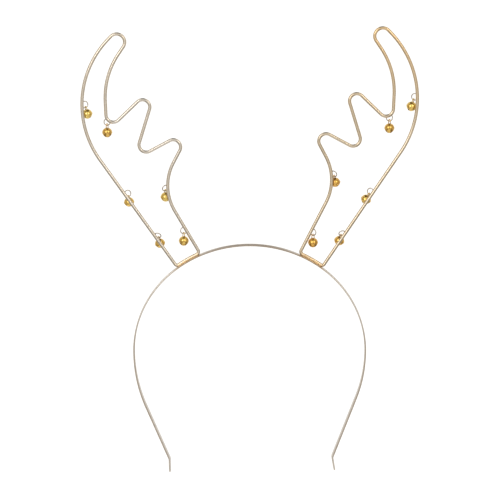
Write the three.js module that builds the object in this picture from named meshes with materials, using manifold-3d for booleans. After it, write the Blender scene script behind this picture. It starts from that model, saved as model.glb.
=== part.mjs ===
import * as THREE from "three";
import { mergeVertices } from "three/addons/utils/BufferGeometryUtils.js";
import Module from "manifold-3d";

// A reindeer antler headband. A flat sprung strip goes over the head. Each antler is one loop of
// round wire, bent round pins and soldered on top of the strip. Small rings are soldered behind
// the wire, and a jingle bell with a loose pellet hangs on every ring.
// Lengths are millimetres. X runs to the right as seen from the front, Y to the back, Z up.
// The origin is the middle of the strip's inner face at the top, where it sits on the head.

const wasm = await Module();
wasm.setup();

const degrees = THREE.MathUtils.degToRad;
const QUARTER_TURN = Math.PI / 2;
const FULL_TURN = Math.PI * 2;

// Driving dimensions of the strip
const BAND_HALF_WIDTH = 69.8; // centre to the middle of the strip at its widest
const BAND_RISE = 64.4; // widest place up to the top
const STRIP_WIDTH = 5;
const STRIP_THICK = 0.9;
const STRIP_CHAMFER = 0.25;
const CHEEK_RADIUS = { left: 87, right: 80 }; // the bow below the widest place, bent by hand
const CHEEK_TURN = { left: degrees(23.3), right: degrees(21) };
const LEG_LENGTH = { left: 35.1, right: 39.2 };
const TIP_BEND = 2.5;
const TIP_TURN = { left: degrees(22), right: degrees(30.8) }; // turns the ends out, away from the skin
const TIP_LENGTH = 7.6;

// Driving dimensions of the antlers
const WIRE_RADIUS = 1;
const FOOT_INSIDE = 31.4; // centre to the inner end of an antler's foot
const FOOT_ACROSS = 10.7; // from there to its outer end
const FOOT_INNER_BEND = 2;
const FOOT_OUTER_BEND = 1.4;
const WAIST_HEIGHT = { left: 45.5, right: 49.1 }; // strip up to the waist of each antler
const FORK_HEIGHT = 90.4; // waist up to the tip

// Every bend of an antler, in the order in which the wire runs, in shares of FORK_HEIGHT:
// the middle of the bending pin, out from the foot and up from the waist, and the pin's radius.
// The wire turns left round a pin with a positive radius, and right round a negative one.
const BENDS = [
  { bend: "outside of the beam", out: 0.07, up: 0.533, radius: 0.624 },
  { bend: "tip of the beam", out: 0.463, up: 0.948, radius: 0.053 },
  { bend: "inside of the beam", out: 0.024, up: 0.58, radius: -0.517 },
  { bend: "upper fork", out: 0.489, up: 0.47, radius: -0.048 },
  { bend: "tip of the upper tine", out: 0.296, up: 0.522, radius: 0.048 },
  { bend: "lower fork", out: 0.273, up: 0.272, radius: -0.048 },
  { bend: "tip of the lower tine", out: 0.096, up: 0.257, radius: 0.049 },
  { bend: "waist", out: -0.198, up: 0, radius: -0.331 },
];

// Driving dimensions of the rings, and where each sits along its wire, as a share of the wire's
// length from the inner end of the foot. The angles are degrees: yaw turns the ring about the
// upright, spin turns the bell about itself, and swing is the way in which the bell leans where
// the wire is in its way, from straight back towards the inside of the loop.
const RING_RADIUS = 1.95;
const RING_WIRE = 0.3;
const RING_INSET = 1.5; // middle of the wire in to the middle of the ring
const RINGS = {
  left: [
    { along: 0.324, yaw: 21, spin: 14, swing: 20 },
    { along: 0.595, yaw: -18, spin: -16, swing: 0 },
    { along: 0.168, yaw: 20, spin: 10, swing: 4 },
    { along: 0.089, yaw: -12, spin: -18, swing: 20 },
    { along: 0.885, yaw: 30, spin: 8, swing: 2 },
    { along: 0.955, yaw: 16, spin: 20, swing: 0 },
  ],
  right: [
    { along: 0.329, yaw: -22, spin: -12, swing: 34 },
    { along: 0.597, yaw: 16, spin: 16, swing: 0 },
    { along: 0.167, yaw: -26, spin: -6, swing: 36 },
    { along: 0.091, yaw: 14, spin: 18, swing: 24 },
    { along: 0.867, yaw: -28, spin: -8, swing: 20 },
    { along: 0.96, yaw: -34, spin: -16, swing: 0 },
  ],
};

// Driving dimensions of the bells
const BELL_RADIUS = 3;
const BELL_WALL = 0.4;
const BELL_POINT = 0.2; // the petals meet this much below a round ball
const SEAM_PROUD = 0.15;
const SEAM_HEIGHT = 0.4;
const SLIT_WIDTH = 0.7;
const SLIT_TOP = -0.9; // the slits stop this far below the seam
const BAIL_WIRE = 0.25;
const BAIL_NECK = 1.3; // top of the ball up to the middle of the bail's round
const PELLET_RADIUS = 1;

// Clearances and joints
const LINK_GAP = 0.36; // ring to bail
const BELL_GAP = 0.3; // ball or bail to the antler's wire
const PELLET_GAP = 0.4; // pellet to the bell's wall
const MOST_LEAN = degrees(44); // past this the ring tilts back instead
const MOST_TILT = degrees(70);
const SOLDER_SINK = 0.2; // how far soldered wires run into each other
const SOLDER_BEAD = 0.7; // radius of the bead that holds a ring

// The seam of solder under an antler's foot, which stops short of the foot's ends
const SEAM_SOLDER = { foot: 2.6, top: 1.4, height: 0.7, short: 0.4 };

// How finely the round stretches are cut
const BEND_STEP = degrees(20); // the widest step round a tight bend
const FACET_SAG = 0.16; // on a wide bend, how far a facet may lie inside the true round
const BAND_TOP_STEPS = 12;
const FOOT_STEPS = 3;
const SEAM_STEPS = 3;
const WIRE_SIDES = 8;
const THIN_WIRE_SIDES = 5;
const RING_SIDES = 10;
const BAIL_STEPS = 4;
const BELL_SIDES = 12;
const INNER_SIDES = 10;
const DOME_STEPS = 3;
const INNER_ROWS = 4;
const BEAD_SIDES = 6;
const BEAD_ROWS = 4;
const RIM_POINTS = 20; // where the way from a ring to the wire is measured
const SEAT_HALVINGS = 20; // when a ring is set against the wire
const LEAN_STEP = degrees(2); // when a bell or ring is leaned back until it is clear
const WELD = 1e-3;

// Worked out from the sizes above
const TOP_Z = STRIP_THICK / 2;
const WIDEST_Z = TOP_Z - BAND_RISE;
const FOOT_LIFT = STRIP_THICK / 2 + WIRE_RADIUS * Math.cos(Math.PI / WIRE_SIDES) - SOLDER_SINK;
const BAIL_RADIUS = RING_WIRE + LINK_GAP + BAIL_WIRE;
const HANG_LENGTH = BAIL_NECK + BELL_RADIUS;
const INNER_RADIUS = BELL_RADIUS - BELL_WALL;

// Materials

function champagnePlate() {
  return new THREE.MeshStandardMaterial({ color: 0xd6c4a4, metalness: 1, roughness: 0.28 });
}

function bellBrass() {
  return new THREE.MeshStandardMaterial({ color: 0xdda32c, metalness: 1, roughness: 0.3 });
}

function pelletSteel() {
  return new THREE.MeshStandardMaterial({ color: 0xaaaaae, metalness: 1, roughness: 0.4 });
}

// Solids

// A closed geometry as a solid that can be joined and cut
function solidOf(geometry) {
  const bare = new THREE.BufferGeometry();
  bare.setAttribute("position", geometry.getAttribute("position"));
  bare.setIndex(geometry.getIndex());
  const welded = mergeVertices(bare, WELD);
  const corners = Array.from(welded.getIndex().array);
  const faces = [];
  for (let i = 0; i < corners.length; i += 3) {
    const [a, b, c] = corners.slice(i, i + 3);
    if (a !== b && b !== c && c !== a) {
      faces.push(a, b, c);
    }
  }
  const vertProperties = Float32Array.from(welded.getAttribute("position").array);
  const triVerts = Uint32Array.from(faces);
  return new wasm.Manifold(new wasm.Mesh({ numProp: 3, vertProperties, triVerts }));
}

function joined(solids) {
  return solids.reduce((whole, solid) => whole.add(solid));
}

// A named mesh of a finished solid
function meshOf(solid, name, material) {
  const { vertProperties, triVerts } = solid.getMesh();
  const geometry = new THREE.BufferGeometry();
  geometry.setAttribute("position", new THREE.BufferAttribute(vertProperties, 3));
  geometry.setIndex(new THREE.BufferAttribute(triVerts, 1));
  geometry.computeVertexNormals();
  const mesh = new THREE.Mesh(geometry, material);
  mesh.name = name;
  return mesh;
}

// Flat routes: lists of stations in the XZ plane, each with the heading that the route has there

// The station straight ahead of one, at a distance
function ahead(station, length) {
  return {
    x: station.x + length * Math.cos(station.heading),
    z: station.z + length * Math.sin(station.heading),
    heading: station.heading,
  };
}

// Stations round a pin between two headings
function roundPin(pin, from, to) {
  const step = Math.min(BEND_STEP, 2 * Math.acos(1 - FACET_SAG / Math.abs(pin.radius)));
  const count = Math.max(1, Math.ceil(Math.abs(to - from) / step));
  return Array.from({ length: count + 1 }, (_, i) => {
    const heading = from + ((to - from) * i) / count;
    const x = pin.x + pin.radius * Math.sin(heading);
    const z = pin.z - pin.radius * Math.cos(heading);
    return { x, z, heading };
  });
}

// The pin that a route touches at a station
function pinBeside(station, radius) {
  const x = station.x - radius * Math.sin(station.heading);
  const z = station.z + radius * Math.cos(station.heading);
  return { x, z, radius };
}

// Stations of a bend that starts at a station
function bend(station, radius, turn) {
  return roundPin(pinBeside(station, radius), station.heading, station.heading + turn);
}

// The heading of the straight line that leaves one pin and meets the next
function headingBetween(pin, next) {
  const apart = Math.hypot(next.x - pin.x, next.z - pin.z);
  const direction = Math.atan2(next.z - pin.z, next.x - pin.x);
  return direction - Math.asin((next.radius - pin.radius) / apart);
}

// The heading that is reached by turning the way the pin turns
function turnedTo(heading, from, radius) {
  const turn = THREE.MathUtils.euclideanModulo(heading - from, FULL_TURN);
  return from + (radius > 0 ? turn : turn - FULL_TURN);
}

// The strip's middle line over the head: a half ellipse, at a lift above the strip
function overHead(angle, lift = 0) {
  const slope = new THREE.Vector2(Math.sin(angle) / BAND_HALF_WIDTH, Math.cos(angle) / BAND_RISE);
  slope.normalize();
  return {
    x: BAND_HALF_WIDTH * Math.sin(angle) + lift * slope.x,
    z: WIDEST_Z + BAND_RISE * Math.cos(angle) + lift * slope.y,
    heading: Math.atan2(-slope.x, slope.y),
  };
}

// The strip from the top down to one tip, drawn on the right whichever side it is
function halfBandRoute(side) {
  const top = Array.from({ length: BAND_TOP_STEPS + 1 }, (_, i) =>
    overHead((QUARTER_TURN * i) / BAND_TOP_STEPS),
  );
  const cheek = bend(top.at(-1), -CHEEK_RADIUS[side], -CHEEK_TURN[side]);
  const tip = bend(ahead(cheek.at(-1), LEG_LENGTH[side]), TIP_BEND, TIP_TURN[side]);
  return [...top, ...cheek.slice(1), ...tip, ahead(tip.at(-1), TIP_LENGTH)];
}

// The whole strip, from the left tip to the right one
function bandRoute() {
  const left = halfBandRoute("left").slice(1).reverse();
  const mirrored = left.map(({ x, z, heading }) => ({ x: -x, z, heading: -heading }));
  return [...mirrored, ...halfBandRoute("right")];
}

// Where an antler's foot starts and ends along the strip
const FOOT_FROM = Math.asin(FOOT_INSIDE / BAND_HALF_WIDTH);
const FOOT_TO = Math.asin((FOOT_INSIDE + FOOT_ACROSS) / BAND_HALF_WIDTH);

function alongFoot(steps, short, lift) {
  const start = FOOT_FROM + short / BAND_HALF_WIDTH;
  const end = FOOT_TO - short / BAND_HALF_WIDTH;
  return Array.from({ length: steps + 1 }, (_, i) =>
    overHead(start + ((end - start) * i) / steps, lift),
  );
}

function footRoute() {
  return alongFoot(FOOT_STEPS, 0, FOOT_LIFT);
}

function seamRoute() {
  return alongFoot(SEAM_STEPS, SEAM_SOLDER.short, (STRIP_THICK + SEAM_SOLDER.height) / 2 - SOLDER_SINK);
}

// The pins of an antler: the outer end of the foot, the bends in the table, the inner end
function antlerPins(side, foot) {
  const middle = overHead((FOOT_FROM + FOOT_TO) / 2);
  const waist = middle.z + WAIST_HEIGHT[side];
  const bends = BENDS.map(({ out, up, radius }) => ({
    x: middle.x + out * FORK_HEIGHT,
    z: waist + up * FORK_HEIGHT,
    radius: radius * FORK_HEIGHT,
  }));
  return [pinBeside(foot.at(-1), FOOT_OUTER_BEND), ...bends, pinBeside(foot[0], FOOT_INNER_BEND)];
}

// One antler's closed loop: along the foot, up the outside, and down over the tines
function antlerRoute(side) {
  const foot = footRoute();
  const pins = antlerPins(side, foot);
  const route = foot.slice(0, -1);
  let heading = foot.at(-1).heading;
  pins.forEach((pin, i) => {
    const next = pins[i + 1];
    const leaving = turnedTo(next ? headingBetween(pin, next) : foot[0].heading, heading, pin.radius);
    route.push(...roundPin(pin, heading, leaving));
    heading = leaving;
  });
  return route;
}

// A flat route as a curve with a point for every station. The left side is the mirror image.
class RouteCurve extends THREE.Curve {
  constructor(route, side = "right") {
    super();
    this.route = route;
    this.out = side === "left" ? -1 : 1;
  }

  stationAt(share) {
    return this.route[Math.round(share * (this.route.length - 1))];
  }

  getPointAt(share, target = new THREE.Vector3()) {
    const { x, z } = this.stationAt(share);
    return target.set(this.out * x, 0, z);
  }

  getTangentAt(share, target = new THREE.Vector3()) {
    const { heading } = this.stationAt(share);
    return target.set(this.out * Math.cos(heading), 0, Math.sin(heading));
  }
}

// Sections: x runs from the front to the back of the part, y across the route

function roundSection(radius, sides) {
  const corners = Array.from({ length: sides }, (_, i) => {
    const angle = (FULL_TURN * (i + 0.5)) / sides;
    return new THREE.Vector2(radius * Math.cos(angle), radius * Math.sin(angle));
  });
  return new THREE.Shape(corners);
}

function stripSection() {
  const wide = STRIP_WIDTH / 2;
  const thick = STRIP_THICK / 2;
  const quarter = [
    [wide, thick - STRIP_CHAMFER],
    [wide - STRIP_CHAMFER, thick],
  ];
  const half = [...quarter, ...quarter.map(([x, y]) => [-x, y]).reverse()];
  const corners = [...half, ...half.map(([x, y]) => [-x, -y])];
  return new THREE.Shape(corners.map(([x, y]) => new THREE.Vector2(x, y)));
}

function seamSection() {
  const { foot, top, height } = SEAM_SOLDER;
  const corners = [
    [-foot / 2, -height / 2],
    [foot / 2, -height / 2],
    [top / 2, height / 2],
    [-top / 2, height / 2],
  ];
  return new THREE.Shape(corners.map(([x, y]) => new THREE.Vector2(x, y)));
}

function carried(section, curve, steps) {
  return new THREE.ExtrudeGeometry(section, { steps, extrudePath: curve });
}

function carriedOpen(section, route, side) {
  return solidOf(carried(section, new RouteCurve(route, side), route.length - 1));
}

// A closed loop keeps only the walls of the extrusion, because its start meets its end
function carriedLoop(section, route, side) {
  const geometry = carried(section, new RouteCurve(route, side), route.length - 1);
  const walls = geometry.groups.find((group) => group.materialIndex === 1);
  const all = geometry.getAttribute("position").array;
  const kept = all.slice(walls.start * 3, (walls.start + walls.count) * 3);
  const loop = new THREE.BufferGeometry();
  loop.setAttribute("position", new THREE.BufferAttribute(kept, 3));
  return solidOf(loop);
}

// Rings and bells

// The middle line of an antler's wire as points in space
function wirePoints(side) {
  const route = antlerRoute(side);
  const curve = new RouteCurve(route, side);
  return curve.getSpacedPoints(route.length - 1);
}

// The point at a share of the wire's length, and the direction into the loop there
function seatOnWire(wire, share, side) {
  const steps = wire.slice(1).map((point, i) => point.distanceTo(wire[i]));
  let left = share * steps.reduce((sum, step) => sum + step, 0);
  const i = steps.findIndex((step) => {
    left -= step;
    return left <= 0;
  });
  const along = wire[i + 1].clone().sub(wire[i]).normalize();
  const point = wire[i + 1].clone().addScaledVector(along, left);
  const inward = new THREE.Vector3(-along.z, 0, along.x);
  return { point, inward: side === "left" ? inward.negate() : inward };
}

// The nearest place on the wire's middle line
function nearestOnWire(point, wire) {
  const line = new THREE.Line3();
  const spots = wire.slice(1).map((end, i) => {
    line.set(wire[i], end);
    return line.closestPointToPoint(point, true, new THREE.Vector3());
  });
  return spots.reduce((best, spot) =>
    spot.distanceToSquared(point) < best.distanceToSquared(point) ? spot : best,
  );
}

function distanceToWire(point, wire) {
  return nearestOnWire(point, wire).distanceTo(point);
}

// Points of a circle round a middle, from its two directions
function circlePoints(middle, across, up, radius) {
  return Array.from({ length: RIM_POINTS }, (_, i) => {
    const angle = (FULL_TURN * i) / RIM_POINTS;
    const point = middle.clone().addScaledVector(across, radius * Math.cos(angle));
    return point.addScaledVector(up, radius * Math.sin(angle));
  });
}

// A ring behind the wire, turned by its yaw and with its foot tilted back, pushed back
// until it only touches the wire as deep as the solder lets it
function placedRing(row, wire, side, tilt) {
  const { point, inward } = seatOnWire(wire, row.along, side);
  const yaw = degrees(row.yaw);
  const across = new THREE.Vector3(Math.cos(yaw), Math.sin(yaw), 0);
  const back = new THREE.Vector3(-Math.sin(yaw), Math.cos(yaw), 0);
  const up = new THREE.Vector3(0, 0, Math.cos(tilt)).addScaledVector(back, -Math.sin(tilt));
  const touching = WIRE_RADIUS + RING_WIRE - SOLDER_SINK;
  const middle = point.clone().addScaledVector(inward, RING_INSET);
  let [near, far] = [0, touching + RING_RADIUS];
  for (let i = 0; i < SEAT_HALVINGS; i += 1) {
    middle.y = (near + far) / 2;
    const rim = circlePoints(middle, across, up, RING_RADIUS);
    if (rim.some((spot) => distanceToWire(spot, wire) < touching)) {
      near = middle.y;
    } else {
      far = middle.y;
    }
  }
  return { middle, across, up, inward, axis: new THREE.Vector3().crossVectors(across, up) };
}

// Where the ring comes nearest to the wire
function solderSpot(ring, wire) {
  const rim = circlePoints(ring.middle, ring.across, ring.up, RING_RADIUS);
  const gaps = rim.map((spot) => distanceToWire(spot, wire));
  const spot = rim[gaps.indexOf(Math.min(...gaps))];
  return spot.clone().lerp(nearestOnWire(spot, wire), RING_WIRE / (RING_WIRE + WIRE_RADIUS));
}

// A bell on a ring, leaning by an angle towards its swing. Its bail slides round the ring
// to the place that the bell pulls on.
function leaningBell(ring, row, lean) {
  const away = new THREE.Vector3(0, 1, 0).multiplyScalar(Math.cos(degrees(row.swing)));
  away.x = Math.sign(ring.inward.x) * Math.sin(degrees(row.swing));
  const up = new THREE.Vector3(0, 0, Math.cos(lean)).addScaledVector(away, -Math.sin(lean));
  const pull = up.clone().projectOnPlane(ring.axis).normalize().negate();
  const hook = ring.middle.clone().addScaledVector(pull, RING_RADIUS);
  const through = new THREE.Vector3().crossVectors(ring.axis, pull);
  through.projectOnPlane(up).normalize().applyAxisAngle(up, degrees(row.spin));
  const across = new THREE.Vector3().crossVectors(up, through);
  const middle = hook.clone().addScaledVector(up, -HANG_LENGTH);
  return { hook, middle, up, through, across };
}

function bellIsClear(bell, wire) {
  const reach = BELL_RADIUS + SEAM_PROUD;
  const ballClear = distanceToWire(bell.middle, wire) >= WIRE_RADIUS + reach + BELL_GAP;
  const bail = circlePoints(bell.hook, bell.across, bell.up, BAIL_RADIUS);
  const least = WIRE_RADIUS + BAIL_WIRE + BELL_GAP;
  return ballClear && bail.every((spot) => distanceToWire(spot, wire) >= least);
}

// A ring and its bell. The bell hangs straight down if it can, or else leans just far enough
// to rest against the back of the wire. The ring tilts back only as far as that needs.
function hungBell(row, wire, side) {
  for (let tilt = 0; tilt < MOST_TILT; tilt += LEAN_STEP) {
    const ring = placedRing(row, wire, side, tilt);
    for (let lean = 0; lean <= MOST_LEAN; lean += LEAN_STEP) {
      const bell = leaningBell(ring, row, lean);
      if (bellIsClear(bell, wire)) {
        return { ring, bell };
      }
    }
  }
  throw new Error(`no room for the bell at ${row.along} on the ${side}`);
}

function placement(x, y, z, middle) {
  return new THREE.Matrix4().makeBasis(x, y, z).setPosition(middle);
}

function ringSolid({ middle, across, up, axis }) {
  const torus = new THREE.TorusGeometry(RING_RADIUS, RING_WIRE, THIN_WIRE_SIDES, RING_SIDES);
  return solidOf(torus.applyMatrix4(placement(across, up, axis, middle)));
}

function beadSolid(spot) {
  const bead = new THREE.SphereGeometry(SOLDER_BEAD, BEAD_SIDES, BEAD_ROWS);
  return solidOf(bead.translate(spot.x, spot.y, spot.z));
}

// The bell's outside, from the top of the ball, over the seam, to the point where its petals meet
function bellProfile() {
  const dome = Array.from({ length: DOME_STEPS }, (_, i) => {
    const angle = (QUARTER_TURN * i) / DOME_STEPS;
    return [BELL_RADIUS * Math.sin(angle), BELL_RADIUS * Math.cos(angle)];
  });
  const petals = dome.map(([r, z]) => [r, -z * (1 + BELL_POINT / BELL_RADIUS)]).reverse();
  const seam = [
    [BELL_RADIUS, SEAM_HEIGHT / 2],
    [BELL_RADIUS + SEAM_PROUD, 0],
    [BELL_RADIUS, -SEAM_HEIGHT / 2],
  ];
  const points = [...dome, ...seam, ...petals].reverse();
  return points.map(([r, z]) => new THREE.Vector2(r, z));
}

function slitSolid(turn) {
  const reach = 2 * (BELL_RADIUS + SEAM_PROUD) + BELL_WALL;
  const depth = BELL_RADIUS + BELL_POINT + BELL_WALL + SLIT_TOP;
  const slit = new THREE.BoxGeometry(reach, SLIT_WIDTH, depth);
  return solidOf(slit.translate(0, 0, SLIT_TOP - depth / 2).rotateZ(turn));
}

// The bail: a round over the ring's wire, and two legs down into the ball
function bailSolid() {
  const end = BELL_RADIUS - BELL_WALL;
  const legs = [-1, 1].map((way) => new THREE.Vector3(way * BAIL_RADIUS, 0, end));
  const round = Array.from({ length: BAIL_STEPS + 1 }, (_, i) => {
    const angle = (Math.PI * i) / BAIL_STEPS;
    const x = -BAIL_RADIUS * Math.cos(angle);
    return new THREE.Vector3(x, 0, HANG_LENGTH + BAIL_RADIUS * Math.sin(angle));
  });
  const points = [legs[0], ...round, legs[1]];
  const route = points.map((point, i) => {
    const before = points[Math.max(i - 1, 0)];
    const after = points[Math.min(i + 1, points.length - 1)];
    return { x: point.x, z: point.z, heading: Math.atan2(after.z - before.z, after.x - before.x) };
  });
  return carriedOpen(roundSection(BAIL_WIRE, THIN_WIRE_SIDES), route);
}

// A hollow ball of two stamped halves, with crossed slits below and a bail on top
function bellSolid() {
  const ball = solidOf(new THREE.LatheGeometry(bellProfile(), BELL_SIDES).rotateX(QUARTER_TURN));
  const hollow = new THREE.SphereGeometry(INNER_RADIUS, INNER_SIDES, INNER_ROWS);
  const shell = ball.add(bailSolid()).subtract(solidOf(hollow.rotateX(QUARTER_TURN)));
  return [0, QUARTER_TURN].reduce((bell, turn) => bell.subtract(slitSolid(turn)), shell);
}

function bellMesh(bell, name, material) {
  const mesh = meshOf(bellSolid(), name, material);
  mesh.applyMatrix4(placement(bell.across, bell.through.clone().negate(), bell.up, bell.middle));
  return mesh;
}

// The pellet lies at the lowest place inside its bell
function pelletMesh(bell, name, material) {
  const pellet = new THREE.SphereGeometry(PELLET_RADIUS, INNER_SIDES, INNER_ROWS);
  const mesh = meshOf(solidOf(pellet), name, material);
  mesh.position.copy(bell.middle);
  mesh.position.z -= INNER_RADIUS - PELLET_RADIUS - PELLET_GAP;
  return mesh;
}

// Band, antlers, rings and their solder are one soldered piece of metal
function frameSolid(hung) {
  const sides = Object.keys(RINGS);
  const wire = roundSection(WIRE_RADIUS, WIRE_SIDES);
  return joined([
    carriedOpen(stripSection(), bandRoute()),
    ...sides.map((side) => carriedLoop(wire, antlerRoute(side), side)),
    ...sides.map((side) => carriedOpen(seamSection(), seamRoute(), side)),
    ...hung.map(({ ring }) => ringSolid(ring)),
    ...hung.map(({ ring, wirePath }) => beadSolid(solderSpot(ring, wirePath))),
  ]);
}

function headband() {
  const hung = Object.entries(RINGS).flatMap(([side, rows]) => {
    const wirePath = wirePoints(side);
    return rows.map((row, i) => ({
      ...hungBell(row, wirePath, side),
      wirePath,
      label: `${side}_${i + 1}`,
    }));
  });
  const brass = bellBrass();
  const steel = pelletSteel();
  const group = new THREE.Group();
  group.add(meshOf(frameSolid(hung), "frame", champagnePlate()));
  hung.forEach(({ bell, label }) => {
    group.add(bellMesh(bell, `bell_${label}`, brass));
    group.add(pelletMesh(bell, `pellet_${label}`, steel));
  });
  return group;
}

export default headband();
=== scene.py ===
"""The looks of a reindeer antler headband: champagne plated strip and wire, jump rings, brass bells.

Lengths are metres in the model's own frame: X to the right as seen from the front, Y to the back of the
head, Z up, with the origin on the strip's inner face at the top. Every piece is a surface worked out with
numpy: a grid of two parameters, or a section carried along a path.
"""

import math

import bpy
import numpy as np
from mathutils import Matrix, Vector


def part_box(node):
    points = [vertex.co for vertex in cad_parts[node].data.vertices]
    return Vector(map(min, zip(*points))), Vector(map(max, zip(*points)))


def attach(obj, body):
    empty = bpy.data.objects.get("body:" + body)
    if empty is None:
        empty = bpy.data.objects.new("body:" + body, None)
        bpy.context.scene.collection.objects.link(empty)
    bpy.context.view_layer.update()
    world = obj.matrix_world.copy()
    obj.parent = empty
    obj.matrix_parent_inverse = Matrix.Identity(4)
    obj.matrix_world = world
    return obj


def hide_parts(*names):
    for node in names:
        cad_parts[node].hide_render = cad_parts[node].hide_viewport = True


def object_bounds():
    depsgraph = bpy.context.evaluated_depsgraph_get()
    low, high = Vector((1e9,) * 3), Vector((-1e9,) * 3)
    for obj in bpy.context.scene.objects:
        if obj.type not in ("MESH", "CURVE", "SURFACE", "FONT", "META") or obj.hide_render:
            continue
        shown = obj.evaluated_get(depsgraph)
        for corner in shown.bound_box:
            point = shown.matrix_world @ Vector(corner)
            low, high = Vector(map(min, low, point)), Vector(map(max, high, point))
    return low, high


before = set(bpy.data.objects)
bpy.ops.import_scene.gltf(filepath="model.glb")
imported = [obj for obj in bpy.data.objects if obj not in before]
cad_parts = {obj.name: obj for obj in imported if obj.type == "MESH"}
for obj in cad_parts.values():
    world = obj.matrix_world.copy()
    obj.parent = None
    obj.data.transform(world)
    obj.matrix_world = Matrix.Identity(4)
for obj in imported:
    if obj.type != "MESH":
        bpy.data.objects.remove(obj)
CAD_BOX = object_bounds()

MM = 0.001
SIDES = ("left", "right")

# The antlers' feet on the strip
FOOT_INSIDE = 31.4 * MM  # middle out to the inner end of a foot
FOOT_ACROSS = 10.7 * MM

# The strip that goes over the head
BAND_HALF_WIDTH = 69.8 * MM
BAND_RISE = 64.4 * MM
STRIP_WIDTH = 5.0 * MM
STRIP_THICK = 0.9 * MM
STRIP_EDGE = 0.28 * MM  # how far the strip's long edges are rounded
STRIP_CORNER = 1.1 * MM  # how far its two ends are rounded, seen flat
CROWN_SHADE_REACH = 0.8 * FOOT_INSIDE  # top of the strip out to where its painted shade fades
CUT_EDGE_DULL = 0.8
# Painted highlight on the strip's cut edges, over the shoulders and at the two tips
SHOULDER_HIGHLIGHT = 1.2
TIP_HIGHLIGHT = 1.6  # tip lengths over which the painted highlight at each end fades
FOOT_EDGE_SHADE = 1.6  # how dark the painted shade on the cut edges next to a foot is, before the clip to 1
LEG_TWIST = math.radians(4)  # the legs' inner faces are turned this much to the front
TWIST_DROP = 38.0 * MM  # height over which the twist comes in
CHEEK_RADIUS = {"left": 87.0 * MM, "right": 80.0 * MM}
CHEEK_TURN = {"left": math.radians(23.3), "right": math.radians(21)}
LEG_LENGTH = {"left": 35.1 * MM, "right": 39.2 * MM}
TIP_BEND = 2.5 * MM
TIP_TURN = {"left": math.radians(22), "right": math.radians(30.8)}
TIP_LENGTH = 7.6 * MM

# The antlers' wire
WIRE_RADIUS = 1.0 * MM
FOOT_INNER_BEND = 2.0 * MM
FOOT_OUTER_BEND = 1.4 * MM
WAIST_HEIGHT = {"left": 45.5 * MM, "right": 49.1 * MM}
FORK_HEIGHT = 90.4 * MM
BEAM_TINT = {"left": 0.15, "right": 0.8}  # how golden the plating is at the beam's tip
BEAM_TINT_FROM = 0.6  # share of the height where it starts
RING_SPOT = 0.3  # how golden the wire is where a ring is soldered to it
RING_SPOT_REACH = 1.6 * MM
FOOT_TINT = 0.42
FOOT_TINT_PATCHES = 0.22
FOOT_TINT_REACH = 2.6 * MM
PATCH_X = 0.55 * MM  # length of a patch for one radian of its sine
PATCH_Y = 0.5 * MM

# The bends in the order in which the wire runs, as shares of FORK_HEIGHT: the middle of the bending pin,
# out from the foot and up from the waist, and its radius, negative where the wire turns right
BENDS = {
    "outside of the beam": (0.070, 0.533, 0.624),
    "tip of the beam": (0.463, 0.948, 0.053),
    "inside of the beam": (0.024, 0.580, -0.517),
    "upper fork": (0.489, 0.470, -0.048),
    "tip of the upper tine": (0.296, 0.522, 0.048),
    "lower fork": (0.273, 0.272, -0.048),
    "tip of the lower tine": (0.096, 0.257, 0.049),
    "waist": (-0.198, 0.0, -0.331),
}

# The jump rings: share of the wire's length from the inner end of the foot, and yaw about the upright
RING_RADIUS = 1.95 * MM
RING_WIRE = 0.3 * MM
RING_INSET = 1.5 * MM
RINGS = {
    "left": ((0.324, 21), (0.595, -18), (0.168, 20), (0.089, -12), (0.885, 30), (0.955, 16)),
    "right": ((0.329, -22), (0.597, 16), (0.167, -26), (0.091, 14), (0.867, -28), (0.960, -34)),
}
MOST_TILT = math.radians(70)
TILT_STEP = math.radians(2)

# The bells
BELL_RADIUS = 3.0 * MM
BELL_WALL = 0.4 * MM
BELL_DOME = 2.88 * MM  # seam up to the top, which is pressed a little flat
BELL_POINT = 0.08 * MM  # the petals meet this much below a round ball
PETAL_POWER = 1.72  # 2 would be an ellipse, and less is more pointed
SEAM_PROUD = 0.15 * MM
SEAM_HEIGHT = 0.4 * MM
SEAM_GROOVE = 0.06 * MM  # depth of the line above the rolled seam
SLIT_WIDTH = 0.7 * MM
SLIT_TOP = 0.9 * MM  # seam down to the slits' round ends
# Painted shade on the bells: beside the slits, in the groove and under the rolled seam
SLIT_SHADE = 0.55
SLIT_SHADE_REACH = 0.22 * MM
GROOVE_SHADE = 0.9
SEAM_SHADE = 0.45  # painted shade under the rolled seam
RIM_ROUND = 0.03 * MM
RIM_ANGLE = math.radians(75)  # edges sharper than this are rounded
BAIL_WIRE = 0.25 * MM
BAIL_NECK = 1.3 * MM
BAIL_SPLAY = 0.3 * MM  # bend of the bail's feet inside the ball
BAIL_SPLAY_TURN = math.radians(70)
BAIL_FOOT_SHADE = 0.75  # painted shade round the bail's feet, on the ball
BAIL_LEG_SHADE = 0.8  # painted shade low on the bail itself
BAIL_SHADE_REACH = 0.45 * MM
BAIL_TOP_SHARE = 0.43  # of its radius: what lies higher above the hook is the bail's round top
PELLET_RADIUS = 1.0 * MM
PELLET_RIDGE = 0.05 * MM
PELLET_RIDGE_REACH = 0.12  # of latitude
PELLET_DENTS = 0.03 * PELLET_RADIUS
PELLET_TURN = math.radians(137.5)  # from one pellet to the next
PELLET_TIP = math.asin(0.6)
BELL_TONE = {  # from yellow, 0, to orange, 1
    "left": (0.0, 0.5, 0.3, 0.4, 0.05, 0.25),
    "right": (0.2, 0.55, 0.35, 0.6, 0.75, 0.9),
}

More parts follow.
